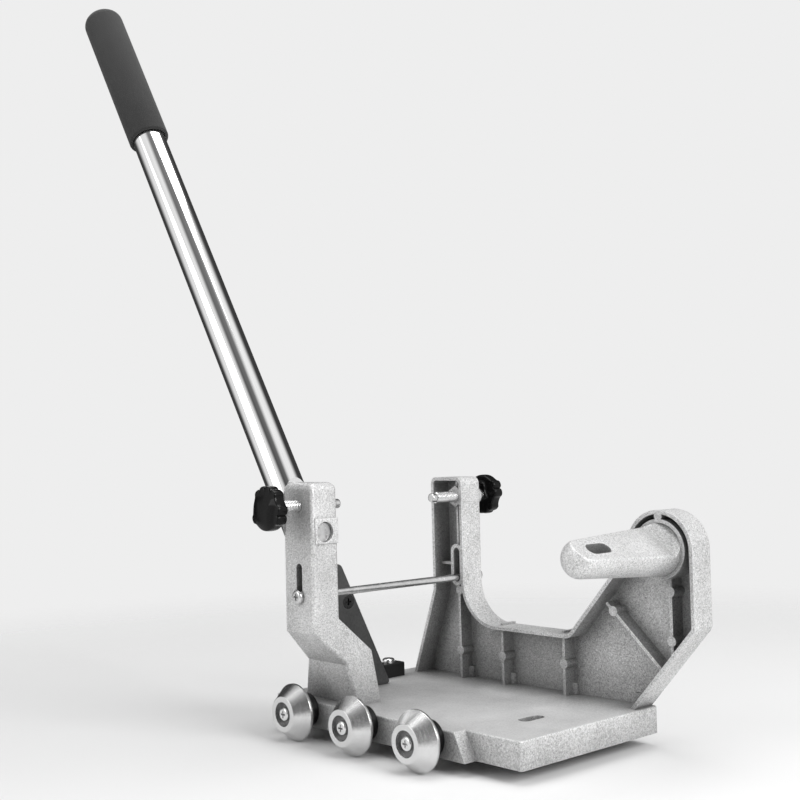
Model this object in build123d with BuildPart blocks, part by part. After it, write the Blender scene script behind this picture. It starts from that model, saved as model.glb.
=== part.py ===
from build123d import *
import os
from math import atan2, cos, degrees, radians, sin

# Rolling saw carriage of a tile cutter, in millimetres.
# The origin is on the underside of the base plate, below the plate's centre.
# +X is the way the carriage rolls, +Y runs from the wheels to the side frame, +Z is up.

# ---- driving dimensions: base plate ----
BASE_X, BASE_Y, BASE_H = 220.0, 129.0, 17.0
PAD_REACH = 9.5                  # how far the wheel pad stands out of the plate
PAD_TOP_X, PAD_FOOT_X = 65.5, 74.0
PAD_Y = -BASE_Y / 2 - PAD_REACH
SKIN = 5.0                       # thickness of the plate above its underside pockets
POCKET_X = [(-84.0, -40.0), (-35.0, 9.0), (14.0, 58.0), (63.0, 102.0)]
POCKET_Y = [(-43.0, -2.5), (2.5, 54.5)]
FIX_SLOT = (74.5, -16.0)         # centre of the slot in the plate
FIX_SLOT_W, FIX_SLOT_L = 9.0, 20.0

# ---- driving dimensions: wheels ----
WHEEL_X = [-73.5, -13.5, 46.5]
WHEEL_Z = 11.0
WHEEL_FRONT_Y = -96.0
WHEEL_R, WHEEL_FACE_R, WHEEL_REAR_R = 18.7, 11.6, 13.4
WHEEL_W, WHEEL_CONE, WHEEL_RIM = 16.4, 9.5, 1.5
BEARING_R, BEARING_BORE_R, BEARING_W = 8.0, 2.5, 5.0
RACE_T, BALL_R, BALLS = 1.45, 1.05, 8
BEARING_INSET = 3.2
FLANGE_R, FLANGE_T = 11.0, 5.0
HUB_R = 3.6
THREAD_DEPTH = 16.0
SHIELD_T = 0.4
AXLE_HEAD_R, AXLE_HEAD_H = 4.6, 2.9

# ---- driving dimensions: posts, clamp screws and rod ----
LINE_X = -49.0                   # the clamp screws and the depth rod share this line
CLAMP_Z, CLAMP_R = 149.0, 4.0
KNOB_R, KNOB_T = 15.0, 9.5
LOBES, LOBE_R = 7, 3.4
SCALLOP_R = 4.2                  # hollow between two lobes
SCREW_REACH = 52.5               # from a knob's inner face to the tip
LEFT_KNOB_Y, RIGHT_KNOB_Y = -117.0, 73.0
TIP_R, TIP_L = 3.2, 4.0
STEM_R, STEM_L = 1.6, 5.0
ROD_R, ROD_Z = 2.5, 90.4
ROD_THREAD_R, ROD_THREAD_L = 1.5, 10.0
SLOT_Z, SLOT_W, SLOT_L = 99.5, 6.2, 24.6
RUN = 0.05                       # radial clearance of a part that turns in a bore
GAP = 0.3                        # clearance between faces that slide past each other

POST_FRONT_X, POST_BACK_X = -34.5, -63.5
POST_OUT_Y, POST_IN_Y, POST_TOP = -98.3, -77.3, 164.0
POST_WALL = 4.0
HANDLE_Y, HANDLE_Z = -88.0, 132.0
SPIGOT_R = 6.6
SPIGOT_PAD_T, SPIGOT_PAD_H = 0.6, 16.4
SPIGOT_RECESS = 2.4              # depth of the spigot's end below the raised pad
GRUB_X, GRUB_R = -56.5, 2.5
# outlines as (y, z) from the side and (x, z) from the front, and the same for the hollow inside
JOG = [(POST_OUT_Y, 67.3), (-71.5, 44.2), (-63.2, BASE_H)]
JOG_IN = [(-43.4, BASE_H), (-50.8, 51.7), (-76.6, 74.1)]
BACK = [(POST_BACK_X, 67.3), (-75.5, 44.2), (-89.0, BASE_H)]
HOLLOW_JOG = [(POST_OUT_Y + POST_WALL, 69.2), (-67.4, 46.2), (-60.0, BASE_H + POST_WALL)]
HOLLOW_BACK = [(POST_BACK_X + POST_WALL, 68.5), (-71.3, 45.7), (-84.0, BASE_H)]
HOLLOW_Y = -20.0                 # the hollow is cut from here outwards
MID_RIB = [(POST_OUT_Y + 1, POST_TOP - 2), (POST_OUT_Y + 1, 69.0), (-69.0, 46.0), (-61.5, BASE_H + 2),
           (-52.0, BASE_H + 2), (-60.0, 48.5), (-88.0, 73.0), (-88.0, POST_TOP - 2)]

# ---- driving dimensions: side frame and arm ----
FRAME_RIM_Y, FRAME_BACK_Y = 45.0, 64.5
FRAME_WALL, WEB_T = 2.5, 3.5
FRAME_TOP = 163.0
BOSS_X, BOSS_Z, BOSS_R = 129.0, 118.2, 24.4
RIB_Y, RIB_T = 50.0, 2.0
JOURNAL_R = 16.4
FLARE = ((-74.0, 80.0), (-97.0, BASE_H))      # outer edge of the post's spreading foot
SLANT = ((BOSS_X + BOSS_R, 70.0), (106.5, BASE_H))
NOTCH_X, NOTCH_Z, NOTCH_R = -42.7, 58.5, 30.0
NOTCH_END, NOTCH_TOP = (54.0, NOTCH_Z), (112.0, 123.9)
# ribs as (start, end, height of the rib's edge in y) and round beads on them, as (x, z)
RIBS = [((-52.0, BASE_H), (-52.0, 86.0), RIB_Y), ((-10.5, BASE_H), (-10.5, 60.0), RIB_Y),
        ((45.5, BASE_H), (45.5, 60.0), RIB_Y), ((83.0, 81.5), (126.0, 41.6), RIB_Y),
        ((133.0, 51.0), (133.0, 101.0), RIB_Y), ((LINE_X, 112.0), (LINE_X, 161.0), 47.0),
        ((-73.0, SLOT_Z), (LINE_X - 4, SLOT_Z), 52.0)]
BEADS = [(-52.0, 37.0), (-10.5, 37.0), (45.5, 38.0), (88.3, 76.6), (133.0, 92.0), (133.0, 61.5),
         (-51.5, 80.5)]
BEAD_R = 3.2
RING_R = 18.8
ARM_TIP_Y, ARM_TIP_R = -40.0, 11.0
ARM_FLAT, ARM_TILT = 6.75, 35.6
ARM_FLAT_END, ARM_RAMP = 41.0, 8.0     # where the flat ends, and how far the ramp behind it runs
ARM_SLOT_Y, ARM_SLOT_W, ARM_SLOT_L = -18.5, 9.0, 20.0
ARM_BACK_Y = FRAME_BACK_Y + GAP
ARM_WASHER_R, ARM_WASHER_T = 19.0, 3.0
ARM_SCREW_HEAD = (7.0, 4.5)      # radius and height of a screw's head
ARM_SCREW_BITE = 18.0
FRAME_SCREW_X = [-52.0, -10.5, 45.5, 100.5]
FRAME_SCREW_Y = 60.8
FRAME_SCREW_R, FRAME_SCREW_L, FRAME_SCREW_BOSS_R = 2.0, 23.0, 3.6
POST_SCREW_X = [-79.0, -62.0, -45.0]
POST_SCREW_Y = -53.5
POST_SCREW_L = 21.0
SCREW_BITE = 11.0                # depth of the threaded holes in the top of the base

# ---- driving dimensions: handle ----
TUBE_R, TUBE_IN = 12.5, 11.0
PLUG_L, PIN_R, PIN_AT = 40.0, 2.0, 10.0
LEAN, SIDE_LEAN = 30.4, 1.7      # degrees, backwards and outwards
AXIS_Z = 142.6                   # where the tube's axis meets the back of the post
GRIP_R, GRIP_START, GRIP_END = 15.5, 331.0, 463.0
TUBE_END = GRIP_END - 6.0
TOE = -16.0                      # where the toe of the mitred end is squared off

# ---- driving dimensions: guard and stop block ----
GUARD_X, GUARD_T = -76.0, 4.0
GUARD_SCREW = (-35.3, 78.7)
GUARD_SHAPE = [(-80.0, 74.0), (-62.0, 62.0), (-42.0, 48.0), (-42.0, BASE_H), (2.5, BASE_H),
               (-41.0, 105.5), (-80.0, 105.5)]
GUARD_FOOT = [(-93.0, -31.0), (-93.0, -11.0)]
BLOCK_X, BLOCK_Y, BLOCK_H = (-103.0, -91.0), (8.0, 30.0), 10.0
BLOCK_SCREW = (-97.0, 19.0)
M5_R = 2.5
NUT_R, NUT_H = 4.6, 4.0
SMALL_HEAD = (4.6, 3.0)          # radius and height of a small screw's head
STOP_HEAD = (4.6, 3.4)

os.makedirs("parts", exist_ok=True)


def save(part, name):
    part.label = name
    export_step(part, f"parts/{name}.step")


def across_y(y):
    """Sketch plane facing -Y, at the given y, with local x and y along +X and +Z."""
    return Plane.XZ.offset(-y)


def along(face):
    return Axis(face.origin, face.z_dir)


def pan_screw(face, thread_r, length, head_r, head_h):
    """Pan-head screw: its head stands on the plane, its shank runs against the normal."""
    with BuildPart() as screw:
        with BuildSketch(face):
            Circle(head_r)
        extrude(amount=head_h)
        fillet(screw.edges().filter_by(GeomType.CIRCLE).sort_by(along(face))[-1], head_h * 0.55)
        with BuildSketch(face):
            Circle(thread_r)
        extrude(amount=-length)
        with BuildSketch(face.offset(head_h)):
            Rectangle(head_r, head_r / 4)
            Rectangle(head_r / 4, head_r)
        extrude(amount=-head_h * 0.6, mode=Mode.SUBTRACT)
    return screw.part


def sunk_screw(face, thread_r, length):
    """Countersunk screw whose head lies flush with the plane, its shank behind it."""
    head_r = thread_r * 2
    with BuildPart() as screw:
        with BuildSketch(face):
            Circle(head_r)
        extrude(amount=-thread_r, taper=45)
        with BuildSketch(face):
            Circle(thread_r)
        extrude(amount=-length)
        with BuildSketch(face):
            Rectangle(head_r, head_r / 4)
            Rectangle(head_r / 4, head_r)
        extrude(amount=-thread_r * 0.7, mode=Mode.SUBTRACT)
    return screw.part


def group(parts):
    return Compound(children=list(parts))


# ================= base plate =================
with BuildPart() as base:
    with BuildSketch():
        Rectangle(BASE_X, BASE_Y)
    extrude(amount=BASE_H)
    with BuildSketch(across_y(-BASE_Y / 2 + 1)):
        Polygon((-BASE_X / 2, 0), (PAD_FOOT_X, 0), (PAD_TOP_X, BASE_H), (-BASE_X / 2, BASE_H), align=None)
    extrude(amount=PAD_REACH + 1)
    fillet(base.edges().filter_by(Axis.Z), 2.0)
    fillet(base.faces().sort_by(Axis.Z)[-1].edges(), 1.0)
    # pockets cast into the underside, with ribs between them
    for x0, x1 in POCKET_X:
        for y0, y1 in POCKET_Y:
            with BuildSketch(Location(((x0 + x1) / 2, (y0 + y1) / 2, 0))):
                RectangleRounded(x1 - x0, y1 - y0, 4)
            extrude(amount=BASE_H - SKIN, mode=Mode.SUBTRACT)
    with BuildSketch(Location((*FIX_SLOT, 0))):
        RectangleRounded(FIX_SLOT_W + 8, FIX_SLOT_L + 8, 6)
    extrude(amount=BASE_H)
    with BuildSketch(Location((*FIX_SLOT, 0))):
        SlotOverall(FIX_SLOT_L, FIX_SLOT_W, rotation=90)
    extrude(amount=BASE_H, mode=Mode.SUBTRACT)
    # threaded holes for the wheel screws
    with BuildSketch(across_y(PAD_Y)):
        with Locations(*[(x, WHEEL_Z) for x in WHEEL_X]):
            Circle(BEARING_BORE_R)
    extrude(amount=-THREAD_DEPTH, mode=Mode.SUBTRACT)
    # screw holes of the post, the side frame, the guard and the stop block
    post_holes = [(x, POST_SCREW_Y) for x in POST_SCREW_X]
    frame_holes = [(x, FRAME_SCREW_Y) for x in FRAME_SCREW_X]
    for places, hole_r in ((post_holes, M5_R), (frame_holes, FRAME_SCREW_R)):
        with BuildSketch():
            with Locations(*places):
                Circle(hole_r)
        extrude(amount=BASE_H, mode=Mode.SUBTRACT)
        with BuildSketch():
            with Locations(*places):
                Circle(hole_r * 2)
        extrude(amount=hole_r, taper=45, mode=Mode.SUBTRACT)
    with BuildSketch(Plane.XY.offset(BASE_H)):
        with Locations(BLOCK_SCREW, *GUARD_FOOT):
            Circle(M5_R)
    extrude(amount=-SCREW_BITE, mode=Mode.SUBTRACT)
save(base.part, "base_plate")

save(group(sunk_screw(Plane(origin=(x, y, 0), z_dir=(0, 0, -1)), M5_R, POST_SCREW_L)
           for x, y in post_holes), "post_screws")
save(group(sunk_screw(Plane(origin=(x, y, 0), z_dir=(0, 0, -1)), FRAME_SCREW_R, FRAME_SCREW_L)
           for x, y in frame_holes), "frame_screws")

# ================= wheels =================
REAR_Y = WHEEL_FRONT_Y + WHEEL_W
RACE_FRONT = WHEEL_FRONT_Y + BEARING_INSET
RACE_BACK = RACE_FRONT + BEARING_W


def ring(y0, y1, inner, outer, x, z, name):
    with BuildPart() as turned:
        with BuildSketch(across_y(y1)):
            with Locations((x, z)):
                Circle(outer)
                Circle(inner, mode=Mode.SUBTRACT)
        extrude(amount=y1 - y0)
    save(turned.part, name)


for number, wx in enumerate(WHEEL_X, start=1):
    with BuildPart() as wheel:
        # half section: x is the radius, y runs along the axle
        with BuildSketch(Plane(origin=(wx, 0, WHEEL_Z), x_dir=(1, 0, 0), z_dir=(0, 0, 1))) as section:
            Polygon((BEARING_R, WHEEL_FRONT_Y), (WHEEL_FACE_R, WHEEL_FRONT_Y),
                    (WHEEL_R, WHEEL_FRONT_Y + WHEEL_CONE),
                    (WHEEL_R, WHEEL_FRONT_Y + WHEEL_CONE + WHEEL_RIM), (WHEEL_REAR_R, REAR_Y),
                    (HUB_R + 1, REAR_Y), (HUB_R + 1, RACE_BACK), (BEARING_R, RACE_BACK), align=None)
        revolve(axis=Axis((wx, 0, WHEEL_Z), (0, 1, 0)))
        rims = wheel.edges().filter_by(GeomType.CIRCLE)
        fillet(rims.filter_by(lambda e: e.radius > WHEEL_FACE_R - 0.1), 0.4)
    save(wheel.part, f"wheel_{number}")
    ring(RACE_FRONT, RACE_BACK, BEARING_BORE_R, BEARING_BORE_R + RACE_T, wx, WHEEL_Z,
         f"bearing_inner_race_{number}")
    with BuildPart() as outer_race:
        with BuildSketch(across_y(RACE_BACK)):
            with Locations((wx, WHEEL_Z)):
                Circle(BEARING_R)
                Circle(BEARING_R - RACE_T, mode=Mode.SUBTRACT)
        extrude(amount=BEARING_W)
        # the shield closes the front of the bearing
        with BuildSketch(across_y(RACE_FRONT + SHIELD_T)):
            with Locations((wx, WHEEL_Z)):
                Circle(BEARING_R - RACE_T)
                Circle(BEARING_BORE_R + RACE_T + GAP, mode=Mode.SUBTRACT)
        extrude(amount=SHIELD_T)
    save(outer_race.part, f"bearing_outer_race_{number}")
    with BuildPart() as balls:
        with Locations(Plane(origin=(wx, (RACE_FRONT + RACE_BACK) / 2, WHEEL_Z), z_dir=(0, 1, 0))):
            with PolarLocations((BEARING_R + BEARING_BORE_R) / 2, BALLS):
                Sphere(BALL_R)
    save(balls.part, f"bearing_balls_{number}")
    with BuildPart() as spacer:
        with BuildSketch(across_y(PAD_Y)):
            with Locations((wx, WHEEL_Z)):
                Circle(FLANGE_R)
        extrude(amount=FLANGE_T)
        fillet(spacer.edges().filter_by(GeomType.CIRCLE).sort_by(Axis.Y)[0], 1.2)
        with BuildSketch(across_y(PAD_Y)):
            with Locations((wx, WHEEL_Z)):
                Circle(HUB_R)
        extrude(amount=PAD_Y - RACE_BACK)
        with BuildSketch(across_y(PAD_Y)):
            with Locations((wx, WHEEL_Z)):
                Circle(BEARING_BORE_R)
        extrude(amount=PAD_Y - RACE_BACK, mode=Mode.SUBTRACT)
    save(spacer.part, f"wheel_spacer_{number}")
    save(pan_screw(Plane(origin=(wx, RACE_FRONT, WHEEL_Z), z_dir=(0, -1, 0)), BEARING_BORE_R,
                   PAD_Y + THREAD_DEPTH - RACE_FRONT, AXLE_HEAD_R, AXLE_HEAD_H), f"wheel_screw_{number}")

# ================= left post =================
with BuildPart() as post:
    with BuildSketch(Plane.YZ.offset(BACK[2][0])):
        Polygon((POST_OUT_Y, POST_TOP), *JOG, *JOG_IN, (POST_IN_Y, POST_TOP), align=None)
    extrude(amount=POST_FRONT_X - BACK[2][0])
    with BuildSketch(across_y(-40)):
        Polygon((POST_FRONT_X, POST_TOP), (POST_BACK_X, POST_TOP), *BACK, (POST_FRONT_X, BASE_H),
                align=None)
    extrude(amount=65, mode=Mode.INTERSECT)
    outer_edges = post.edges().filter_by(lambda e: e.center().Y < -64 and e.center().X > POST_FRONT_X - 0.1)
    fillet(outer_edges.filter_by(lambda e: e.center().Z < POST_TOP - 1), 2.5)
    fillet(post.edges().filter_by(Axis.Y).filter_by(lambda e: e.center().Z > POST_TOP - 1), 5.0)
    # the casting is a channel, open towards the saw
    with BuildPart(mode=Mode.PRIVATE) as cavity:
        with BuildSketch(Plane.YZ.offset(BACK[2][0])):
            Polygon((POST_OUT_Y + POST_WALL, POST_TOP - POST_WALL), *HOLLOW_JOG,
                    (HOLLOW_Y, BASE_H + POST_WALL), (HOLLOW_Y, POST_TOP - POST_WALL), align=None)
        extrude(amount=POST_FRONT_X - POST_WALL - BACK[2][0])
        with BuildSketch(across_y(HOLLOW_Y)):
            Polygon((POST_FRONT_X, POST_TOP), (POST_BACK_X + POST_WALL, POST_TOP), *HOLLOW_BACK,
                    (POST_FRONT_X, BASE_H), align=None)
        extrude(amount=HOLLOW_Y - POST_OUT_Y, mode=Mode.INTERSECT)
    add(cavity.part, mode=Mode.SUBTRACT)
    # middle rib, clamp boss, slot boss and the sleeve of the handle's spigot
    with BuildSketch(Plane.YZ.offset(LINE_X - RIB_T / 2)):
        Polygon(*MID_RIB, align=None)
    extrude(amount=RIB_T)
    with BuildSketch(across_y(POST_IN_Y - 3)):
        with Locations((LINE_X, CLAMP_Z)):
            Circle(CLAMP_R + 3.5)
        with Locations((LINE_X, SLOT_Z)):
            SlotOverall(SLOT_L + 5.4, SLOT_W + 5.4, rotation=90)
    extrude(amount=POST_IN_Y - 3 - POST_OUT_Y - 1)
    with BuildSketch(Plane.YZ.offset(POST_BACK_X + 1)):
        with Locations((HANDLE_Y, HANDLE_Z)):
            Circle(SPIGOT_R + 3)
    extrude(amount=POST_FRONT_X - POST_BACK_X - 2)
    # raised pad around the spigot's end
    with BuildSketch(Plane.YZ.offset(POST_FRONT_X)):
        with Locations(((POST_IN_Y + HANDLE_Y - 8) / 2, HANDLE_Z + SPIGOT_PAD_T)):
            Rectangle(POST_IN_Y - HANDLE_Y + 8, SPIGOT_PAD_H)
    extrude(amount=SPIGOT_PAD_T)
    # holes
    with BuildSketch(across_y(POST_IN_Y)):
        with Locations((LINE_X, CLAMP_Z)):
            Circle(CLAMP_R + RUN)
        with Locations((LINE_X, SLOT_Z)):
            SlotOverall(SLOT_L, SLOT_W, rotation=90)
    extrude(amount=POST_IN_Y - POST_OUT_Y, mode=Mode.SUBTRACT)
    with BuildSketch(Plane.YZ.offset(POST_BACK_X)):
        with Locations((HANDLE_Y, HANDLE_Z)):
            Circle(SPIGOT_R)
    extrude(amount=POST_FRONT_X - POST_BACK_X + 1, mode=Mode.SUBTRACT)
    with BuildSketch(across_y(POST_IN_Y + 1)):
        with Locations((GRUB_X, HANDLE_Z)):
            Circle(GRUB_R)
    extrude(amount=POST_IN_Y + 1 - HANDLE_Y, mode=Mode.SUBTRACT)
    with BuildSketch(Plane.XY.offset(BASE_H)):
        with Locations(*post_holes):
            Circle(M5_R)
    extrude(amount=POST_WALL, mode=Mode.SUBTRACT)
save(post.part, "left_post")

# ================= side frame =================

def at_height(line, z):
    """Point at height z on the straight line through two points."""
    (x0, z0), (x1, z1) = line
    return (x0 + (x1 - x0) * (z - z0) / (z1 - z0), z)


def frame_outline(y, foot_z):
    """Outline of the side frame on the plane at y, with its feet cut off at foot_z."""
    with BuildSketch(across_y(y)) as outline:
        with BuildLine():
            Polyline(at_height(FLARE, foot_z), FLARE[0], (FLARE[0][0], FRAME_TOP),
                     (NOTCH_X, FRAME_TOP), (NOTCH_X, NOTCH_Z + NOTCH_R))
            RadiusArc((NOTCH_X, NOTCH_Z + NOTCH_R), (NOTCH_X + NOTCH_R, NOTCH_Z), -NOTCH_R)
            Polyline((NOTCH_X + NOTCH_R, NOTCH_Z), NOTCH_END, NOTCH_TOP, (BOSS_X, BOSS_Z),
                     (SLANT[0][0], BOSS_Z), SLANT[0], at_height(SLANT, foot_z),
                     at_height(FLARE, foot_z))
        make_face()
        fillet(outline.vertices().filter_by(lambda v: v.Y > FRAME_TOP - 1), 5)
        fillet(outline.vertices().sort_by_distance(NOTCH_END)[0], 8)
        fillet(outline.vertices().sort_by_distance(SLANT[0])[0], 4)
        with Locations((BOSS_X, BOSS_Z)):
            Circle(BOSS_R)
    return outline.sketch


def rib(start, end, front_y, thickness=RIB_T):
    """Straight rib standing on the web, from one point to another in the XZ plane."""
    run = (end[0] - start[0], end[1] - start[1])
    length = (run[0] ** 2 + run[1] ** 2) ** 0.5
    middle = ((start[0] + end[0]) / 2, (start[1] + end[1]) / 2)
    with BuildSketch(across_y(FRAME_BACK_Y - 1)) as strip:
        with Locations(Location((*middle, 0), (0, 0, degrees(atan2(run[1], run[0]))))):
            Rectangle(length, thickness)
    extrude(strip.sketch, amount=FRAME_BACK_Y - 1 - front_y)


hollow = offset(frame_outline(FRAME_BACK_Y - WEB_T, 0), -FRAME_WALL)
with BuildPart() as frame:
    extrude(frame_outline(FRAME_BACK_Y, BASE_H), amount=FRAME_BACK_Y - FRAME_RIM_Y)
    fillet(frame.faces().filter_by(Plane.XZ).sort_by(Axis.Y)[-1].outer_wire().edges(), 1.2)
    # the hollow side of the casting faces the saw
    extrude(hollow, amount=FRAME_BACK_Y - WEB_T - FRAME_RIM_Y, mode=Mode.SUBTRACT)
    for start, end, front_y in RIBS:
        rib(start, end, front_y)
    with BuildSketch(across_y(FRAME_BACK_Y - 1)):
        with Locations(*BEADS):
            Circle(BEAD_R)
    extrude(amount=FRAME_BACK_Y - 1 - RIB_Y + 0.4)
    # bosses at the foot for the fixing screws
    with BuildSketch(Plane.XY.offset(BASE_H)):
        with Locations(*frame_holes):
            Circle(FRAME_SCREW_BOSS_R)
    extrude(amount=FRAME_SCREW_L - BASE_H + 1.5)
    # bosses of the clamp screw and of the depth rod's slot, and the arm's bearing ring
    with BuildSketch(across_y(FRAME_BACK_Y - 1)):
        with Locations((LINE_X, CLAMP_Z)):
            RegularPolygon(7.6, 6, rotation=90)
        with Locations((LINE_X, SLOT_Z)):
            SlotOverall(SLOT_L + 5.4, SLOT_W + 5.2, rotation=90)
        with Locations((BOSS_X, BOSS_Z)):
            Circle(RING_R)
        with Locations((BOSS_X, BOSS_Z + (BOSS_R + RING_R) / 2 - 1)):
            Circle(2.8)
    extrude(amount=FRAME_BACK_Y - 1 - FRAME_RIM_Y)
    with BuildSketch(across_y(FRAME_BACK_Y + 1)):
        with Locations((LINE_X, CLAMP_Z)):
            Circle(CLAMP_R + 3)
    extrude(amount=2)
    # holes
    with BuildSketch(across_y(FRAME_BACK_Y + 1)):
        with Locations((LINE_X, CLAMP_Z)):
            Circle(CLAMP_R + RUN)
        with Locations((LINE_X, SLOT_Z)):
            SlotOverall(SLOT_L, SLOT_W, rotation=90)
        with Locations((BOSS_X, BOSS_Z)):
            Circle(JOURNAL_R + RUN)
    extrude(amount=FRAME_BACK_Y + 1 - FRAME_RIM_Y, mode=Mode.SUBTRACT)
    with BuildSketch(Plane.XY.offset(BASE_H)):
        with Locations(*frame_holes):
            Circle(FRAME_SCREW_R)
    extrude(amount=FRAME_SCREW_L - BASE_H, mode=Mode.SUBTRACT)
save(frame.part, "side_frame")

# ================= saw arm =================
with BuildPart() as arm:
    with BuildSketch(Plane(origin=(BOSS_X, 0, BOSS_Z), x_dir=(1, 0, 0), z_dir=(0, 0, 1))) as profile:
        Polygon((0, ARM_TIP_Y), (ARM_TIP_R, ARM_TIP_Y), (JOURNAL_R, FRAME_RIM_Y),
                (JOURNAL_R, ARM_BACK_Y), (0, ARM_BACK_Y), align=None)
        fillet(profile.vertices().sort_by_distance((ARM_TIP_R, ARM_TIP_Y))[0], 8.5)
    revolve(axis=Axis((BOSS_X, 0, BOSS_Z), (0, 1, 0)))
    # flat seat of the arm, tilted about the journal's axis
    seat = Plane(origin=(BOSS_X, ARM_SLOT_Y, BOSS_Z), x_dir=(0, 1, 0),
                 z_dir=(sin(radians(ARM_TILT)), 0, cos(radians(ARM_TILT))))
    beside = Plane(origin=(BOSS_X, 0, BOSS_Z), x_dir=(0, 1, 0),
                   z_dir=(cos(radians(ARM_TILT)), 0, -sin(radians(ARM_TILT))))
    with BuildSketch(beside):
        Polygon((ARM_TIP_Y - 1, ARM_FLAT), (ARM_FLAT_END, ARM_FLAT),
                (ARM_FLAT_END + ARM_RAMP, JOURNAL_R + 1), (ARM_TIP_Y - 1, JOURNAL_R + 1), align=None)
    extrude(amount=JOURNAL_R + 1, both=True, mode=Mode.SUBTRACT)
    flat = arm.faces().filter_by(along(seat))[0]
    fillet(flat.outer_wire().edges().filter_by(lambda e: e.center().Y < ARM_FLAT_END - 1), 1.0)
    with BuildSketch(seat.offset(ARM_FLAT)):
        SlotOverall(ARM_SLOT_L, ARM_SLOT_W)
    extrude(amount=-40, mode=Mode.SUBTRACT)
    with BuildSketch(across_y(ARM_BACK_Y)):
        with Locations((BOSS_X, BOSS_Z)):
            Circle(CLAMP_R)
    extrude(amount=20, mode=Mode.SUBTRACT)
save(arm.part, "saw_arm")
ring(ARM_BACK_Y, ARM_BACK_Y + ARM_WASHER_T, CLAMP_R, ARM_WASHER_R, BOSS_X, BOSS_Z, "arm_washer")
save(pan_screw(Plane(origin=(BOSS_X, ARM_BACK_Y + ARM_WASHER_T, BOSS_Z), z_dir=(0, 1, 0)), CLAMP_R,
               ARM_WASHER_T + ARM_SCREW_BITE, *ARM_SCREW_HEAD), "arm_screw")

# ================= clamp screws =================
def clamp(side, knob_y, inward):
    """Star knob, screw and swivel tip of one clamp; inward is +1 or -1 along Y."""
    face = Plane(origin=(LINE_X, knob_y, CLAMP_Z), z_dir=(0, -inward, 0))
    with BuildPart() as knob:
        with BuildSketch(face):
            Circle(KNOB_R * 0.82)
            with PolarLocations(KNOB_R - LOBE_R, LOBES):
                Circle(LOBE_R)
        extrude(amount=KNOB_T)
        with BuildSketch(face):
            with PolarLocations(KNOB_R + 1.6, LOBES, start_angle=180 / LOBES):
                Circle(SCALLOP_R)
        extrude(amount=KNOB_T, mode=Mode.SUBTRACT)
        fillet(knob.faces().sort_by(along(face))[-1].edges(), 2.2)
        fillet(knob.faces().sort_by(along(face))[0].edges(), 0.8)
        with BuildSketch(face):
            Circle(CLAMP_R + 2.5)
        extrude(amount=-2)
        with BuildSketch(face.offset(-2)):
            Circle(CLAMP_R)
        extrude(amount=KNOB_T - 1, mode=Mode.SUBTRACT)
    save(knob.part, f"{side}_clamp_knob")
    with BuildPart() as screw:
        with BuildSketch(face.offset(KNOB_T - 3)):
            Circle(CLAMP_R)
        extrude(amount=-(KNOB_T - 3 + SCREW_REACH - TIP_L - GAP))
        chamfer(screw.edges().filter_by(GeomType.CIRCLE).sort_by(along(face))[0], 0.6)
        with BuildSketch(face.offset(-(SCREW_REACH - TIP_L - GAP))):
            Circle(STEM_R + RUN)
        extrude(amount=STEM_L + GAP + 0.5, mode=Mode.SUBTRACT)
    save(screw.part, f"{side}_clamp_screw")
    with BuildPart() as tip:
        with BuildSketch(face.offset(-SCREW_REACH)):
            Circle(TIP_R)
        extrude(amount=TIP_L)
        fillet(tip.edges().filter_by(GeomType.CIRCLE).sort_by(along(face))[0], 1.0)
        with BuildSketch(face.offset(-SCREW_REACH + TIP_L)):
            Circle(STEM_R)
        extrude(amount=STEM_L)
    save(tip.part, f"{side}_clamp_tip")


clamp("left", LEFT_KNOB_Y, 1)
clamp("right", RIGHT_KNOB_Y, -1)

# ================= depth rod =================
ROD_LEFT, ROD_RIGHT = POST_OUT_Y - GAP, FRAME_BACK_Y + GAP
with BuildPart() as rod:
    with BuildSketch(across_y(ROD_LEFT)):
        with Locations((LINE_X, ROD_Z)):
            Circle(ROD_R)
    extrude(amount=-(ROD_RIGHT - ROD_LEFT))
    for end_y, way in ((ROD_LEFT, -1), (ROD_RIGHT, 1)):
        with BuildSketch(across_y(end_y)):
            with Locations((LINE_X, ROD_Z)):
                Circle(ROD_THREAD_R)
        extrude(amount=way * ROD_THREAD_L, mode=Mode.SUBTRACT)
save(rod.part, "depth_rod")
save(group(pan_screw(Plane(origin=(LINE_X, end_y, ROD_Z), z_dir=(0, way, 0)), ROD_THREAD_R,
                     ROD_THREAD_L - 1, *SMALL_HEAD)
           for end_y, way in ((ROD_LEFT, -1), (ROD_RIGHT, 1))), "rod_screws")

# ================= handle =================
# The handle is built upright in the plane of the post and then leaned outwards about its spigot.
tube_plane = Plane(origin=(POST_BACK_X, HANDLE_Y, AXIS_Z), x_dir=(0, 1, 0),
                   z_dir=(-sin(radians(LEAN)), 0, cos(radians(LEAN))))
spigot_axis = Axis((0, HANDLE_Y, HANDLE_Z), (1, 0, 0))
behind_post = Plane.YZ.offset(POST_BACK_X)


def lean(part):
    return part.rotate(spigot_axis, SIDE_LEAN)


def mitre(inner, outer, end):
    """Round bar or tube along the handle's axis, mitred against the back of the post."""
    with BuildPart() as bar:
        with BuildSketch(tube_plane.offset(TOE)):
            Circle(outer)
            if inner:
                Circle(inner, mode=Mode.SUBTRACT)
        extrude(amount=end - TOE)
        split(bisect_by=behind_post, keep=Keep.BOTTOM)
    return bar.part


pin_plane = Plane(tube_plane.offset(PIN_AT).origin, x_dir=(1, 0, 0), z_dir=(0, -1, 0))


def pin_hole():
    with BuildSketch(pin_plane) as hole:
        Circle(PIN_R)
    extrude(hole.sketch, amount=TUBE_R + 1, both=True, mode=Mode.SUBTRACT)


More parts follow.
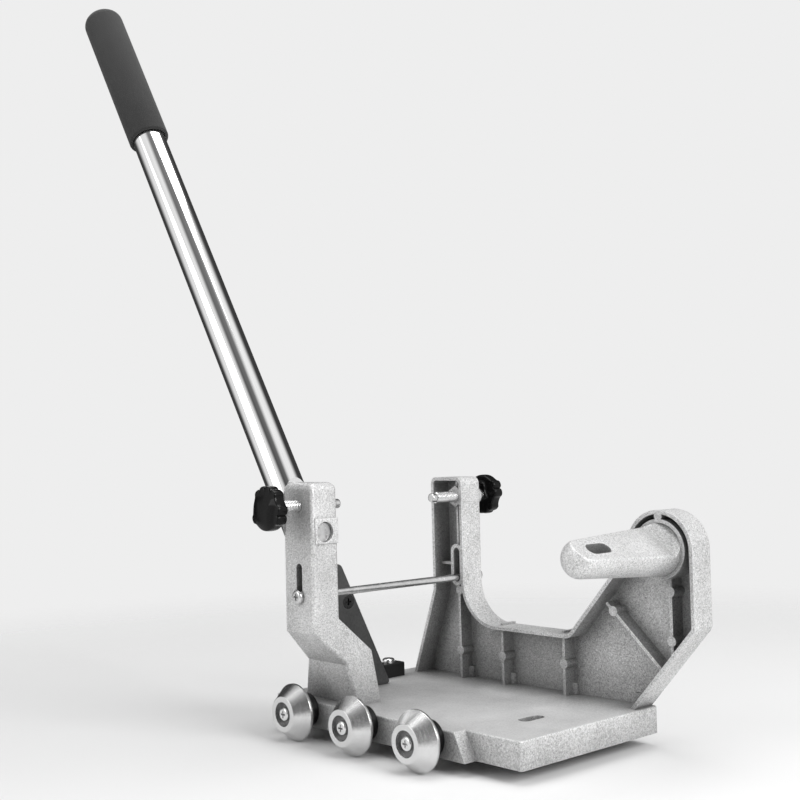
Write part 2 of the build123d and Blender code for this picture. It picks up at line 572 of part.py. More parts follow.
with BuildPart() as tube:
    add(mitre(TUBE_IN, TUBE_R, TUBE_END))
    pin_hole()
save(lean(tube.part), "handle_tube")
with BuildPart() as elbow:
    add(mitre(0, TUBE_IN, PLUG_L))
    with BuildSketch(behind_post):
        with Locations((HANDLE_Y, HANDLE_Z)):
            Circle(SPIGOT_R)
    extrude(amount=POST_FRONT_X + SPIGOT_PAD_T - SPIGOT_RECESS - POST_BACK_X)
    chamfer(elbow.edges().filter_by(GeomType.CIRCLE).sort_by(Axis.X)[-1], 0.5)
    pin_hole()
    with BuildSketch(across_y(HANDLE_Y + SPIGOT_R)):
        with Locations((GRUB_X, HANDLE_Z)):
            Circle(GRUB_R + 0.5)
    extrude(amount=3, mode=Mode.SUBTRACT)
save(lean(elbow.part), "handle_elbow")
with BuildPart() as pin:
    with BuildSketch(pin_plane):
        Circle(PIN_R)
    extrude(amount=TUBE_R - 0.1, both=True)
save(lean(pin.part), "handle_pin")
with BuildPart() as grub:
    with BuildSketch(across_y(HANDLE_Y + SPIGOT_R - 1.5)):
        with Locations((GRUB_X, HANDLE_Z)):
            Circle(GRUB_R)
    extrude(amount=-8)
    with BuildSketch(across_y(HANDLE_Y + SPIGOT_R + 6.5)):
        with Locations((GRUB_X, HANDLE_Z)):
            RegularPolygon(1.4, 6)
    extrude(amount=3, mode=Mode.SUBTRACT)
save(grub.part, "handle_set_screw")
with BuildPart() as grip:
    with BuildSketch(tube_plane.offset(GRIP_START)):
        Circle(GRIP_R)
    extrude(amount=GRIP_END - GRIP_START)
    fillet(grip.faces().sort_by(Axis(tube_plane.origin, tube_plane.z_dir))[-1].edges(), 6)
    fillet(grip.faces().sort_by(Axis(tube_plane.origin, tube_plane.z_dir))[0].edges(), 1)
    with BuildSketch(tube_plane.offset(GRIP_START)):
        Circle(TUBE_R)
    extrude(amount=TUBE_END - GRIP_START, mode=Mode.SUBTRACT)
save(lean(grip.part), "handle_grip")

# ================= guard and stop block =================
with BuildPart() as guard:
    with BuildSketch(Plane.YZ.offset(GUARD_X - GUARD_T)) as sheet:
        Polygon(*GUARD_SHAPE, align=None)
        fillet(sheet.vertices().sort_by_distance(GUARD_SHAPE[5])[0], 5)
        fillet(sheet.vertices().sort_by_distance(GUARD_SHAPE[4])[0], 2)
    extrude(amount=GUARD_T)
    chamfer(guard.faces().sort_by(Axis.X)[-1].edges(), 0.7)
    # foot turned backwards onto the base plate
    with BuildSketch(Plane.XY.offset(BASE_H)):
        with Locations(((GUARD_FOOT[0][0] - 5.5 + GUARD_X - 1) / 2 - 2, -21)):
            Rectangle(GUARD_X - 1 - GUARD_FOOT[0][0] + 9, 36)
    extrude(amount=GUARD_T - 1)
    with BuildSketch(Plane.YZ.offset(GUARD_X)):
        with Locations(GUARD_SCREW):
            Circle(M5_R)
    extrude(amount=-GUARD_T, mode=Mode.SUBTRACT)
    with BuildSketch(Plane.YZ.offset(GUARD_X)):
        with Locations(GUARD_SCREW):
            Circle(M5_R * 2)
    extrude(amount=-M5_R, taper=45, mode=Mode.SUBTRACT)
    with BuildSketch(Plane.XY.offset(BASE_H)):
        with Locations(*GUARD_FOOT):
            Circle(M5_R)
    extrude(amount=GUARD_T, mode=Mode.SUBTRACT)
save(guard.part, "guard_plate")
guard_back = GUARD_X - GUARD_T
save(group([sunk_screw(Plane(origin=(GUARD_X, *GUARD_SCREW), z_dir=(1, 0, 0)), M5_R, GUARD_T + NUT_H + 1)]
           + [pan_screw(Plane.XY.offset(BASE_H + GUARD_T - 1).move(Location((*place, 0))), M5_R,
                        GUARD_T - 1 + SCREW_BITE - 1, *SMALL_HEAD) for place in GUARD_FOOT]), "guard_screws")
with BuildPart() as nut:
    with BuildSketch(Plane.YZ.offset(guard_back)):
        with Locations(GUARD_SCREW):
            RegularPolygon(NUT_R, 6)
            Circle(M5_R, mode=Mode.SUBTRACT)
    extrude(amount=-NUT_H)
save(nut.part, "guard_nut")
with BuildPart() as block:
    with BuildSketch(Plane.XY.offset(BASE_H)):
        with Locations(((BLOCK_X[0] + BLOCK_X[1]) / 2, (BLOCK_Y[0] + BLOCK_Y[1]) / 2)):
            Rectangle(BLOCK_X[1] - BLOCK_X[0], BLOCK_Y[1] - BLOCK_Y[0])
    extrude(amount=BLOCK_H)
    chamfer(block.edges().filter_by(lambda e: e.center().Z > BASE_H + 1), 0.8)
    with BuildSketch(Plane.XY.offset(BASE_H)):
        with Locations(BLOCK_SCREW):
            Circle(M5_R)
    extrude(amount=BLOCK_H, mode=Mode.SUBTRACT)
save(block.part, "stop_block")
save(pan_screw(Plane.XY.offset(BASE_H + BLOCK_H).move(Location((*BLOCK_SCREW, 0))), M5_R,
               BLOCK_H + SCREW_BITE - 1, *STOP_HEAD), "stop_screw")
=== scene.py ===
# %% [markdown]
# # The saw carriage of a tile cutter, finished for the studio
# A tile cutter's carriage is three silver castings bolted together: a base plate that rolls
# on three steel wheels, a narrow post that carries the push handle, and a hollow side frame
# with a turning arm. A power saw is clamped between the post and the frame.
# Every casting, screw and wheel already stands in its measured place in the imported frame, so
# this lesson adds what a drawing can't: the light, the paint and polish, and the soft or
# moulded shapes that are easier to shape by hand than to draw.

# %% Load the measured frame
from math import cos, pi, radians, sin

import bmesh
import bpy
from mathutils import Matrix, Vector


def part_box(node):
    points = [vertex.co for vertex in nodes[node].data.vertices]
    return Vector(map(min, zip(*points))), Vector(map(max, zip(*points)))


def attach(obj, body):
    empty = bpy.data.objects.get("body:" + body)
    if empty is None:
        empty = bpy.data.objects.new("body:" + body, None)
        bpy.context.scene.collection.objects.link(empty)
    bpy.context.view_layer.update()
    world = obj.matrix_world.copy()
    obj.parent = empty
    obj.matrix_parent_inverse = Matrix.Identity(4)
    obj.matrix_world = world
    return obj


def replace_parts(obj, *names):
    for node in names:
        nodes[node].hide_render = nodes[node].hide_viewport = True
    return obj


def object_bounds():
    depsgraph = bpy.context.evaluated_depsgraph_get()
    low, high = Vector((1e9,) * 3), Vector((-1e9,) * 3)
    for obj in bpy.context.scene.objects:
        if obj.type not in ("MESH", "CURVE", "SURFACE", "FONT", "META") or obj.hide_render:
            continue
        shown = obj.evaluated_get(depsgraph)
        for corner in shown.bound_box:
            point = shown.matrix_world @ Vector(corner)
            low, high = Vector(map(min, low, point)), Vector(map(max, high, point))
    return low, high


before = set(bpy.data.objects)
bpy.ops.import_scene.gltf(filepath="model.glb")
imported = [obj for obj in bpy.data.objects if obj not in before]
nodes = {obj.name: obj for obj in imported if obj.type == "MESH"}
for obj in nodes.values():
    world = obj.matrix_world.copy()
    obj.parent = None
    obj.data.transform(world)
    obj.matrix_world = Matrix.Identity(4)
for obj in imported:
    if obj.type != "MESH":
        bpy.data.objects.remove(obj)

drawn_lo, drawn_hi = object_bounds()
print("frame:", len(nodes), "parts,", [round(s, 4) for s in drawn_hi - drawn_lo], "m")

# %% [markdown]
# ## Where the eye stands
# The viewer kneels beside the wheels and looks almost level along the plate, so the wheels
# come forward, the top of the plate is a thin strip, and the handle leans away to the left.
# A camera can be aimed with a Track To constraint or with Euler angles. Here its three axes
# are written down as vectors, because a small roll is then just a turn of two of them.

# %% Camera
EYE = Vector((0.578, -0.5734, 0.1826))
YAW, PITCH, ROLL = radians(42.115), radians(2.456), radians(-1.4117)
FOCAL_LENGTH = 54.17

ahead = Vector((-cos(YAW) * cos(PITCH), sin(YAW) * cos(PITCH), sin(PITCH)))
level_right = ahead.cross(Vector((0, 0, 1))).normalized()
level_up = level_right.cross(ahead)
right = level_right * cos(ROLL) + level_up * sin(ROLL)
up = level_up * cos(ROLL) - level_right * sin(ROLL)

lens = bpy.data.cameras.new("eye")
lens.lens, lens.sensor_width, lens.clip_start = FOCAL_LENGTH, 36, 0.02
eye = bpy.data.objects.new("eye", lens)
bpy.context.scene.collection.objects.link(eye)
eye.matrix_world = Matrix.Translation(EYE) @ Matrix((right, up, -ahead)).transposed().to_4x4()
bpy.context.scene.camera = eye
print("camera looks along", [round(c, 3) for c in ahead])

# %% [markdown]
# ## A few words for shader arithmetic
# A finish is mostly arithmetic on patterns: a grain times a strength plus an edge. Wiring
# each sum by hand hides the idea, so a socket is wrapped in a small class whose operators
# add the Math nodes. Every other node comes from one method of the tree's wrapper, which
# takes the kind of node, its settings and what goes into its sockets.

# %% Signal: a number or colour on its way through a shader
class Signal:
    def __init__(self, tree, socket):
        self.tree, self.socket = tree, socket

    def math(self, operation, *others):
        return self.tree.node("Math", {"operation": operation}, dict(enumerate((self, *others))))

    def __add__(self, other):
        return self.math("ADD", other)

    def __sub__(self, other):
        return self.math("SUBTRACT", other)

    def __rsub__(self, other):
        return self.math("MULTIPLY", -1) + other

    def __mul__(self, other):
        return self.math("MULTIPLY", other)

    def __truediv__(self, other):
        return self.math("DIVIDE", other)

    def clamp(self):
        return self.math("MAXIMUM", 0).math("MINIMUM", 1)

    __radd__, __rmul__ = __add__, __mul__


# %% Tree: the nodes of one material or of the world
class Tree:
    def __init__(self, owner):
        owner.use_nodes = True
        self.owner, self.nodes, self.links = owner, owner.node_tree.nodes, owner.node_tree.links

    def plug(self, value, socket):
        if isinstance(value, Signal):
            self.links.new(value.socket, socket)
        else:
            socket.default_value = value

    def node(self, kind, settings, sockets, output=0):
        made = self.nodes.new("ShaderNode" + kind)
        for name, value in settings.items():
            setattr(made, name, value)
        for name, value in sockets.items():
            self.plug(value, made.inputs[name])
        return Signal(self, made.outputs[output])

    def step(self, value, low, high):
        """0 below low, 1 above high, smooth in between."""
        return self.node("MapRange", {"interpolation_type": "SMOOTHSTEP"},
                         {"Value": value, "From Min": low, "From Max": high})

    def blend(self, share, dark, light):
        """Grey or colour between dark and light."""
        return self.node("Mix", {"data_type": "RGBA"}, {0: share, 6: grey(dark), 7: grey(light)}, 2)


def grey(value):
    return value if isinstance(value, (Signal, tuple)) else (value, value, value, 1)


# %% Patterns that every finish draws from
def patterns(tree, centre=(0, 0, 0)):
    """Place of a point on the part, in metres from the centre."""
    place = tree.node("TexCoord", {}, {}, "Object")
    return tree.node("Mapping", {}, {"Vector": place, "Location": [-c for c in centre]})


def noise(tree, place, scale, detail=2.0, roughness=0.5):
    return tree.node("TexNoise", {}, {"Vector": place, "Scale": scale, "Detail": detail,
                                      "Roughness": roughness}, "Fac")


def flakes(tree, place, size):
    """A random number for each little cell of the given size in metres."""
    cells = tree.node("TexVoronoi", {}, {"Vector": place, "Scale": 1 / size}, "Color")
    return tree.node("SeparateColor", {}, {"Color": cells}, 0)


def start(name, **constants):
    """A new material: its tree, with the numbers that are the same all over set on the shader."""
    material = bpy.data.materials.new(name)
    tree = Tree(material)
    for socket, value in constants.items():
        tree.nodes["Principled BSDF"].inputs[socket.replace("_", " ")].default_value = value
    return tree


def finish_with(tree, colour, roughness, height=None, depth=0.0002, soft_edge=0.0):
    """Sends the patterns to the shader. soft_edge rounds sharp edges for the light alone."""
    shader = tree.nodes["Principled BSDF"].inputs
    tree.plug(colour, shader["Base Color"])
    tree.plug(roughness, shader["Roughness"])
    normal = tree.node("Bevel", {"samples": 4}, {"Radius": soft_edge}) if soft_edge else None
    if height is not None:
        inputs = {"Height": height, "Distance": depth, "Strength": 1.0}
        if normal:
            inputs["Normal"] = normal
        normal = tree.node("Bump", {}, inputs)
    if normal:
        tree.plug(normal, shader["Normal"])
    print("finish:", tree.owner.name, len(tree.nodes), "nodes")
    return tree.owner


# %% [markdown]
# ## The studio
# The carriage stands on a pale table that melts into a pale room, with no line between them.
# A curved sheet of paper does that in a real studio. Here the floor is a flat disc whose edge
# fades to clear, so the room's even grey shows through and no corner has to be hidden.
# Polished steel only looks like steel if it has something dark to reflect: the room is
# bright on both sides of the viewer and dark in front and behind, as two tall soft boxes and
# an unlit studio would make it. The viewer sees only the even grey.

# %% Room
BACKDROP = 0.855
SIDES_FROM, SIDES_TO = 0.14, 0.50        # how far aside of the viewer the two boxes begin
AHEAD_FROM, AHEAD_TO = 0.0, 0.55         # how far ahead of the viewer they end
CEILING_FROM, CEILING_TO = 0.55, 1.0
BOX_GLOW, GLOOM, CEILING_GLOW = 0.84, 0.05, 0.20

world = bpy.data.worlds.new("studio")
bpy.context.scene.world = world
room = Tree(world)
facing = room.node("TexCoord", {}, {}, "Generated")
aside = room.node("VectorMath", {"operation": "DOT_PRODUCT"},
                  {0: facing, 1: level_right}, "Value")
height = room.node("SeparateXYZ", {}, {0: facing}, "Z")
onward = room.node("VectorMath", {"operation": "DOT_PRODUCT"}, {0: facing, 1: ahead}, "Value")
boxes = (room.step(aside.math("ABSOLUTE"), SIDES_FROM, SIDES_TO)
         * (1 - room.step(onward, AHEAD_FROM, AHEAD_TO)))
lit = boxes * BOX_GLOW + GLOOM + room.step(height, CEILING_FROM, CEILING_TO) * CEILING_GLOW
seen = room.node("LightPath", {}, {}, "Is Camera Ray")
shown = room.node("Mix", {"data_type": "RGBA"}, {0: seen, 6: lit, 7: grey(BACKDROP)}, 2)
room.plug(shown, room.nodes["Background"].inputs["Color"])
bpy.context.scene.view_settings.view_transform = "Standard"
print("room: backdrop", BACKDROP)

# %% [markdown]
# ## Three soft lights
# A strong box on the right makes the ends of the plate and of the side frame the brightest
# faces. A weak one on the left keeps the wheels' side readable, and one overhead lifts the
# top of the plate. Point lights would be simpler, but their hard shadows would cut the ribs
# of the casting to pieces.

# %% Lights
MIDDLE = Vector((0.0, -0.02, 0.12))


def soft_box(name, place, size, watts):
    """A square studio light that points at the middle of the carriage."""
    lamp = bpy.data.lights.new(name, "AREA")
    lamp.shape, lamp.size, lamp.energy = "SQUARE", size, watts
    box = bpy.data.objects.new(name, lamp)
    bpy.context.scene.collection.objects.link(box)
    box.location = place
    box.rotation_mode = "QUATERNION"
    box.rotation_quaternion = (MIDDLE - Vector(place)).to_track_quat("-Z", "Y")
    print("light:", name, watts, "W")


soft_box("key_right", (1.35, 0.05, 0.85), 0.8, 17.5)
soft_box("fill_left", (-0.45, -1.45, 0.70), 0.9, 4.6)
soft_box("top", (-0.1, 0.1, 1.5), 1.0, 9.5)

# %% [markdown]
# ## A table without an edge
# The wheels' rims are the lowest points, so the table lies just under them. It is one flat
# disc of matt paper that grows clear with distance. A large plane would meet the backdrop in
# a line across the view, and a curved sweep would catch a shadow of its own.

# %% Floor
FLOOR_RADIUS, CLEAR_FROM, CLEAR_TO = 3.0, 0.32, 0.95
UNDER_WHEELS = 0.0005
PAPER_DARK, PAPER_LIGHT, PAPER_CLOUDS = 0.745, 0.757, 3.0

bpy.ops.mesh.primitive_circle_add(vertices=96, radius=FLOOR_RADIUS, fill_type="NGON",
                                  location=(0, 0, drawn_lo.z - UNDER_WHEELS))
floor = bpy.context.object
floor.name = "floor"
table = Tree(bpy.data.materials.new("table_top"))
spot = patterns(table)
away = table.node("VectorMath", {"operation": "LENGTH"}, {0: spot}, "Value")
paper = table.nodes["Principled BSDF"]
paper.inputs["Roughness"].default_value = 0.9
paper.inputs["Specular IOR Level"].default_value = 0.0
paper_tone = table.blend(noise(table, spot, PAPER_CLOUDS), PAPER_DARK, PAPER_LIGHT)
table.plug(paper_tone, paper.inputs["Base Color"])
clear = table.node("BsdfTransparent", {}, {})
surface = table.node("MixShader", {}, {0: table.step(away, CLEAR_FROM, CLEAR_TO),
                                       1: Signal(table, paper.outputs[0]), 2: clear})
table.plug(surface, table.nodes["Material Output"].inputs["Surface"])
floor.data.materials.append(table.owner)
print("floor: fades between", CLEAR_FROM, "and", CLEAR_TO, "m")

# %% [markdown]
# ## Silver hammer paint
# The castings are sprayed with a silver paint full of metal flakes. Close up it is a fine
# salt-and-pepper grain about a millimetre across. Its colour also carries a painted highlight
# along every edge and a painted shade in the corners where no light gets in. A scan of real
# paint could be wrapped round the parts; a procedural grain in the part's own coordinates has
# no seams and can be calmer on the top of the plate, which has been rubbed smooth.

# %% Hammer paint
FLAKE, EDGE_HIGHLIGHT_REACH, CORNER_REACH = 0.0009, 0.0011, 0.035     # metres
DARK_PAINT, LIGHT_PAINT, CORNER_SHADE = 0.07, 0.90, 0.70
BODY_TONE, GRAIN_CONTRAST, PAINTED_EDGE_HIGHLIGHT = 0.66, 0.50, 0.4


def hammer_paint(name, grain=1.0, calm_top=0.0):
    """Silver paint with a salt-and-pepper grain; calm_top is how much of it the top has lost."""
    tree = start(name, Metallic=0.35, Specular_IOR_Level=0.5)
    place = patterns(tree)
    surface = tree.node("NewGeometry", {}, {}, "Normal")
    upward = tree.node("SeparateXYZ", {}, {0: surface}, "Z")
    amount = grain - tree.step(upward, 0.90, 0.99) * (grain * calm_top)
    flake = flakes(tree, place, FLAKE)
    salt = (noise(tree, place, 1250, 2, 0.6) - 0.5) * 2.6
    pepper = (flake - 0.5) * 0.55
    cloud = (noise(tree, place, 28, 3) - 0.5) * 0.55
    # Painted highlight: the colour is made lighter along sharp edges, where the rounded normal
    # turns away from the true one.
    rounded = tree.node("Bevel", {"samples": 4}, {"Radius": EDGE_HIGHLIGHT_REACH})
    sharp = tree.node("VectorMath", {"operation": "DOT_PRODUCT"}, {0: rounded, 1: surface}, "Value")
    edge = tree.step(1 - sharp, 0.02, 0.16)
    # Painted shade: ambient occlusion darkens the colour in corners and recesses where little light
    # reaches.
    open_air = tree.node("AmbientOcclusion", {"samples": 6}, {"Distance": CORNER_REACH}, "AO")
    shadow = (1 - open_air * open_air) * CORNER_SHADE
    tone = (salt + pepper) * amount * GRAIN_CONTRAST + cloud + BODY_TONE + edge * PAINTED_EDGE_HIGHLIGHT
    tone = tone.clamp() * (1 - shadow)
    rough = 0.44 - (flake - 0.5) * 0.25
    return finish_with(tree, tree.blend(tone, DARK_PAINT, LIGHT_PAINT), rough,
                       (salt * 0.3 + flake) * amount, 0.00018, 0.0009)


casting_paint = hammer_paint("hammer_paint")
plate_paint = hammer_paint("hammer_paint_rubbed", calm_top=0.75)

# %% [markdown]
# ## Turned metal
# The wheels come off a lathe, and the tool leaves rings around the axle. The rings could be
# carved into the rim, but they are far finer than the mesh. A pattern that depends only on
# the distance from the axle does the same, so each wheel needs its own centre.

# %% Turned steel
def turned_steel(name, centre, bright, rough, ring_width=0.00016, depth=0.00002):
    """Rings around an axle along Y through the centre."""
    tree = start(name, Metallic=1.0)
    place = patterns(tree, centre)
    x, y, z = (tree.node("SeparateXYZ", {}, {0: place}, axis) for axis in "XYZ")
    radius = (x * x + z * z).math("SQRT")
    rings = tree.node("TexNoise", {"noise_dimensions": "1D"},
                      {"W": (radius + y * 0.8) / ring_width, "Detail": 2.0}, "Fac")
    smudge = noise(tree, place, 90, 3)
    colour = tree.blend((rings * 0.6 + smudge * 0.4).clamp(), bright * 0.72, bright * 1.2)
    return finish_with(tree, colour, (rings - 0.5) * 0.14 + smudge * 0.12 + (rough - 0.06),
                       rings, depth, 0.0004)


# %% [markdown]
# ## Zinc plating
# Screws come out of the plating bath bright and a little cloudy, so a soft noise is enough
# for most of them. The clamp screws need their thread as well. Cutting a real thread would
# cost many small faces, so a wave that climbs one pitch each turn raises a bump instead,
# and the same wave colours the grooves darker as a painted shade.

# %% Zinc plating, plain and threaded
def zinc_plate(name, bright=0.72, rough=0.24, thread=None):
    """thread is (centre, pitch) of a screw along Y whose turns show as a bump."""
    tree = start(name, Metallic=1.0)
    place = patterns(tree, thread[0] if thread else (0, 0, 0))
    cloud = noise(tree, place, 260, 3)
    colour = tree.blend(cloud, bright * 0.7, bright * 1.15)
    height, depth = noise(tree, place, 900), 0.00003
    if thread:
        x, y, z = (tree.node("SeparateXYZ", {}, {0: place}, axis) for axis in "XYZ")
        turns = y / thread[1] + x.math("ARCTAN2", z) / (2 * pi)
        height, depth = (turns * (2 * pi)).math("SINE") * 0.5, 0.00010
        # Painted shade: the colour follows the same wave, darker in the thread's grooves and
        # lighter on its crests.
        colour = tree.blend((height + 0.5) * 0.5 + cloud * 0.5, bright * 0.75, bright * 1.15)
    return finish_with(tree, colour, cloud * 0.2 + (rough - 0.1), height, depth, 0.0003)


# %% [markdown]
# ## Polished tube
# The handle's tube is drawn steel, polished until only faint streaks along it are left. The
# streaks are a noise stretched along the lean of the tube. An anisotropic shine would also
# give them, but the tube is almost a mirror and mostly shows the studio.

# %% Mirror tube
LEAN, SIDE_LEAN = radians(30.4), radians(1.7)       # of the handle, backwards and outwards
STREAK_STRETCH = 40


def mirror_tube(name):
    """Polished steel with faint streaks along the leaning tube."""
    tree = start(name, Metallic=1.0)
    place = patterns(tree)
    along = tree.node("Mapping", {"vector_type": "TEXTURE"},
                      {"Vector": place, "Rotation": (0, -LEAN, 0),
                       "Scale": (1, 1, STREAK_STRETCH)})
    streak = noise(tree, along, 900, 2)
    colour = tree.blend(streak, 0.74, 0.9)
    return finish_with(tree, colour, streak * 0.07 + 0.035, streak, 0.000004)


# %% [markdown]
# ## Black parts
# Four blacks sit side by side and must not look the same: glossy moulded knobs, a satin
# coated guard plate, a dull stop block and the grip's matt foam. What tells them apart is how
# sharp their highlights are and how rough the skin is, far more than how dark they are.

# %% Black finishes
def moulded_black(name):
    tree = start(name, Specular_IOR_Level=0.17)
    place = patterns(tree)
    skin = noise(tree, place, 420, 2)
    return finish_with(tree, tree.blend(skin, 0.002, 0.006), skin * 0.14 + 0.10, skin, 0.00004)


def coated_black(name, dark, light, rough, peel=0.00008):
    """Coating on steel, with a faint orange peel and thin grey wear along the edges."""
    tree = start(name, Metallic=0.25)
    place = patterns(tree)
    peeling = noise(tree, place, 650, 2)
    wear = noise(tree, place, 45, 4, 0.6)
    surface = tree.node("NewGeometry", {}, {}, "Normal")
    rounded = tree.node("Bevel", {"samples": 4}, {"Radius": 0.0009})
    sharp = tree.node("VectorMath", {"operation": "DOT_PRODUCT"}, {0: rounded, 1: surface}, "Value")
    edge = tree.step(1 - sharp, 0.02, 0.2) * wear
    tone = (wear * 0.7 + (peeling - 0.5) * 0.6 + edge).clamp()
    return finish_with(tree, tree.blend(tone, dark, light), wear * 0.2 + (rough - 0.1),
                       peeling, peel, 0.0006)


def foam_black(name):
    """Closed-cell foam: a pale dust of tiny cells over a dark body."""
    tree = start(name, Specular_IOR_Level=0.25, Sheen_Weight=0.18, Sheen_Roughness=0.5)
    place = patterns(tree)
    cells = tree.node("TexVoronoi", {}, {"Vector": place, "Scale": 1700}, "Distance")
    drift = noise(tree, place, 60, 3)
    colour = tree.blend((cells * 0.8 + drift * 0.5).clamp(), 0.010, 0.036)
    return finish_with(tree, colour, drift * 0.12 + 0.78, cells + drift * 0.5, 0.00012)


# %% [markdown]
# ## Which part gets which finish
# Parts that came out of one mould or one bath share a material. A wheel can't, because its
# rings are centred on its own axle. A table from part to finish keeps the choice in one
# place, and whatever isn't in it is plated with zinc.

# %% Every finish by its node
def middle(node):
    lo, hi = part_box(node)
    return (lo + hi) / 2


FINISH = {}
THREAD_PITCH = 0.00125
for number in (1, 2, 3):
    axle = middle(f"wheel_{number}")
    wheel = turned_steel(f"wheel_steel_{number}", axle, 0.74, 0.24)
    FINISH[f"wheel_{number}"] = wheel
    # Painted shade: the bearing sits recessed in the wheel's hub, so its steel is coloured far
    # darker than bare steel to stand for the shade there.
    race = turned_steel(f"bearing_steel_darkened_for_shade_{number}", axle, 0.16, 0.25, 0.0001)
    for piece in ("outer_race", "inner_race", "balls"):
        FINISH[f"bearing_{piece}_{number}"] = race
    FINISH[f"wheel_spacer_{number}"] = turned_steel(f"spacer_steel_{number}", axle, 0.05, 0.3)
    FINISH[f"wheel_screw_{number}"] = zinc_plate(f"axle_zinc_{number}", 0.8, 0.2)
for side in ("left", "right"):
    line = middle(f"{side}_clamp_screw")
    FINISH[f"{side}_clamp_screw"] = zinc_plate(f"{side}_screw_thread", 0.85, 0.25,
                                                (line, THREAD_PITCH))
for node in ("saw_arm", "left_post", "side_frame"):
    FINISH[node] = casting_paint
FINISH["base_plate"] = plate_paint
FINISH["handle_tube"] = mirror_tube("mirror_steel")
FINISH["guard_plate"] = coated_black("guard_coating", 0.035, 0.11, 0.42)
FINISH["stop_block"] = coated_black("stop_coating", 0.004, 0.012, 0.5)
FINISH["guard_screws"] = FINISH["guard_nut"] = coated_black("screw_blacking", 0.01, 0.03, 0.25)
FINISH["handle_elbow"] = zinc_plate("bare_aluminium", 0.9, 0.3)
FINISH["arm_washer"] = turned_steel("washer_steel", middle("arm_washer"), 0.55, 0.3)
plain_zinc = zinc_plate("zinc_plate")

for name, part in nodes.items():
    for holder in part.material_slots:
        holder.material = FINISH.get(name, plain_zinc)
print("finished", len(nodes), "parts")

# %% [markdown]
# ## Tools of the bench
# New shapes start as one primitive, get pushed about in edit mode and are finished with
# modifiers. Edit mode works on whatever is selected, so a helper picks faces by where they
# are, and another clears the old selection before each new shape.

# %% Selecting and finishing by rule
def clear_bench():
    if bpy.context.object and bpy.context.object.mode != "OBJECT":
        bpy.ops.object.mode_set(mode="OBJECT")
    bpy.ops.object.select_all(action="DESELECT")


def pick_faces(test):
    """In edit mode: selects only the faces for which test(centre, normal) is true."""
    bpy.ops.mesh.select_mode(type="FACE")
    bpy.ops.mesh.select_all(action="DESELECT")
    shape = bmesh.from_edit_mesh(bpy.context.edit_object.data)
    for face in shape.faces:
        face.select_set(bool(test(face.calc_center_median(), face.normal)))
    bmesh.update_edit_mesh(bpy.context.edit_object.data)


def apply_modifier(kind, **settings):
    piece = bpy.context.object
    modifier = piece.modifiers.new(kind.lower(), kind)
    for name, value in settings.items():
        setattr(modifier, name, value)
    bpy.ops.object.modifier_apply(modifier=modifier.name)


def settle(name, finish):
    """Puts the place of the active piece into its mesh, smooths it and gives it its finish."""
    piece = bpy.context.object
    piece.name = piece.data.name = name
    bpy.ops.object.transform_apply(location=True, rotation=True, scale=True)
    bpy.ops.object.shade_smooth_by_angle(angle=radians(40))
    piece.data.materials.clear()
    piece.data.materials.append(finish)
    print("piece:", name, len(piece.data.polygons), "faces")
    return piece


# %% [markdown]
# ## Star knobs
# Each clamp screw is turned by a moulded knob with seven soft lobes, a shallow dome on its
# face and a collar where the screw goes in. A lobed outline could be drawn as a curve and
# extruded, but its edges would stay hard. A coarse fourteen-sided cylinder whose every
# second side is pulled outwards becomes soft all over when it is subdivided, as a moulding is.

# %% Star knob
LOBES = 7
LOBE_TURN = 2 * pi / LOBES
CORE, LOBE, BARREL = 0.86, 0.15, 0.70       # shares of the knob's reach, reach and depth
DOME = ((0.10, 0.07), (0.20, 0.09), (0.25, 0.03))      # inset and rise of each ring of the face


def is_lobe(centre, normal):
    """True for every second side face of the knob's first cylinder."""
    turn = centre.xy.angle_signed(Vector((1, 0))) % LOBE_TURN
    return abs(normal.z) < 0.5 and turn < LOBE_TURN / 2


def rise(knob_depth, outward, share):
    """Moves what is selected along the screw, out of the knob's face."""
    bpy.ops.transform.translate(value=(0, outward * knob_depth * share, 0))


def star_knob(name, side, outward):
    """A knob on one end of the clamp line; its face looks along Y, -1 or +1."""
    lo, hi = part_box(f"{side}_clamp_knob")
    centre, reach, depth = (lo + hi) / 2, (hi.x - lo.x) / 2, hi.y - lo.y
    clear_bench()
    bpy.ops.mesh.primitive_cylinder_add(vertices=2 * LOBES, radius=reach * CORE,
                                        depth=depth * BARREL,
                                        location=centre, rotation=(radians(-90 * outward), 0, 0))
    bpy.ops.object.mode_set(mode="EDIT")
    pick_faces(is_lobe)
    bpy.ops.mesh.extrude_faces_move(TRANSFORM_OT_shrink_fatten={"value": reach * LOBE})
    pick_faces(lambda c, n: n.z > 0.9)
    bpy.ops.mesh.inset(thickness=reach * 0.05)
    rise(depth, outward, 0.02)
    pick_faces(lambda c, n: n.z > 0.9 and c.xy.length < reach * 0.1)
    for inward, share in DOME:
        bpy.ops.mesh.inset(thickness=reach * inward)
        rise(depth, outward, share)
    pick_faces(lambda c, n: n.z < -0.9)
    bpy.ops.mesh.inset(thickness=reach * 0.05)
    pick_faces(lambda c, n: n.z < -0.9 and c.xy.length < reach * 0.1)
    bpy.ops.mesh.inset(thickness=reach * 0.30)
    bpy.ops.mesh.extrude_region_move()
    rise(depth, -outward, 0.17)
    bpy.ops.mesh.inset(thickness=reach * 0.04)
    bpy.ops.object.mode_set(mode="OBJECT")
    apply_modifier("SUBSURF", levels=3, render_levels=3)
    knob = settle(name, moulded)
    fit_to(knob, lo, hi)
    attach(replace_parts(knob, f"{side}_clamp_knob"), f"{side}_screw")
    return knob


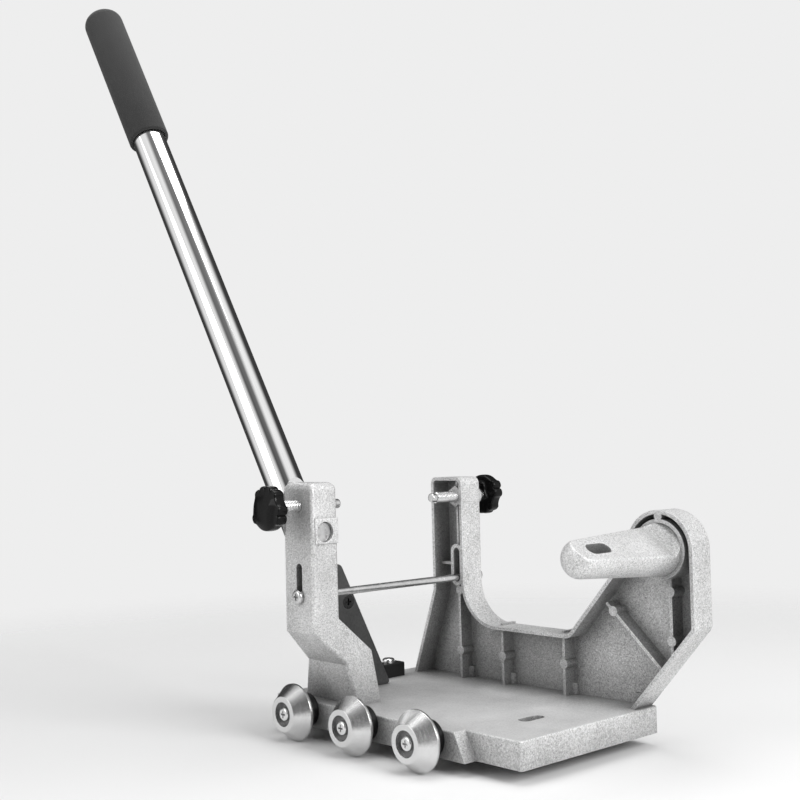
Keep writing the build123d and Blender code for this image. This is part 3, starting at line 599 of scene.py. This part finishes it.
def fit_to(piece, lo, hi):
    """Scales the mesh so that it just fills the box."""
    points = [v.co.copy() for v in piece.data.vertices]
    low = Vector([min(p[i] for p in points) for i in range(3)])
    high = Vector([max(p[i] for p in points) for i in range(3)])
    scale = Matrix.Diagonal([(hi[i] - lo[i]) / (high[i] - low[i]) for i in range(3)]).to_4x4()
    piece.data.transform(Matrix.Translation(lo) @ scale @ Matrix.Translation(-low))


moulded = moulded_black("moulded_black")
star_knob("star_knob_left", "left", -1)
star_knob("star_knob_right", "right", 1)

# %% [markdown]
# ## Foam grip
# A sleeve of closed-cell foam is rolled over the end of the tube. Its far end is closed and
# rounded over, and its near end has a rolled rim with a dark gap where the tube goes in. A
# cloth simulation would swell it, but a foam sleeve this firm keeps its round section, so
# bevels and an inset are enough.

# %% Foam grip
grip_lo, grip_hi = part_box("handle_grip")
grip_axis = Matrix.Rotation(SIDE_LEAN, 3, "X") @ Vector((-sin(LEAN), 0, cos(LEAN)))
GRIP_LENGTH, GRIP_RADIUS, TUBE_RADIUS = 0.132, 0.0155, 0.0125
INSIDE_DRAWING = 0.0002         # the sleeve is this much thinner than its drawn part
END_ROUND, RIM_ROUND = 0.0085, 0.0012
RIM_WALL = GRIP_RADIUS - 0.0014 - TUBE_RADIUS - 0.0004
RIM_DEPTH = 0.006
grip_middle = (grip_lo + grip_hi) / 2
clear_bench()
bpy.ops.mesh.primitive_cylinder_add(vertices=48, radius=GRIP_RADIUS - INSIDE_DRAWING,
                                    depth=GRIP_LENGTH, location=grip_middle,
                                    rotation=grip_axis.to_track_quat("Z", "Y").to_euler())
bpy.ops.object.mode_set(mode="EDIT")
pick_faces(lambda c, n: n.z > 0.9)
bpy.ops.mesh.bevel(offset=END_ROUND, segments=8, affect="EDGES", profile=0.5)
pick_faces(lambda c, n: n.z < -0.9)
bpy.ops.mesh.bevel(offset=RIM_ROUND, segments=3, affect="EDGES")
pick_faces(lambda c, n: n.z < -0.99)
bpy.ops.mesh.inset(thickness=RIM_WALL)
bpy.ops.mesh.extrude_region_move(TRANSFORM_OT_translate={"value": grip_axis * RIM_DEPTH})
bpy.ops.object.mode_set(mode="OBJECT")
apply_modifier("SUBSURF", levels=1, render_levels=1, subdivision_type="SIMPLE")
grip = settle("foam_sleeve", foam_black("foam_black"))
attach(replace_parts(grip, "handle_grip"), "carriage")
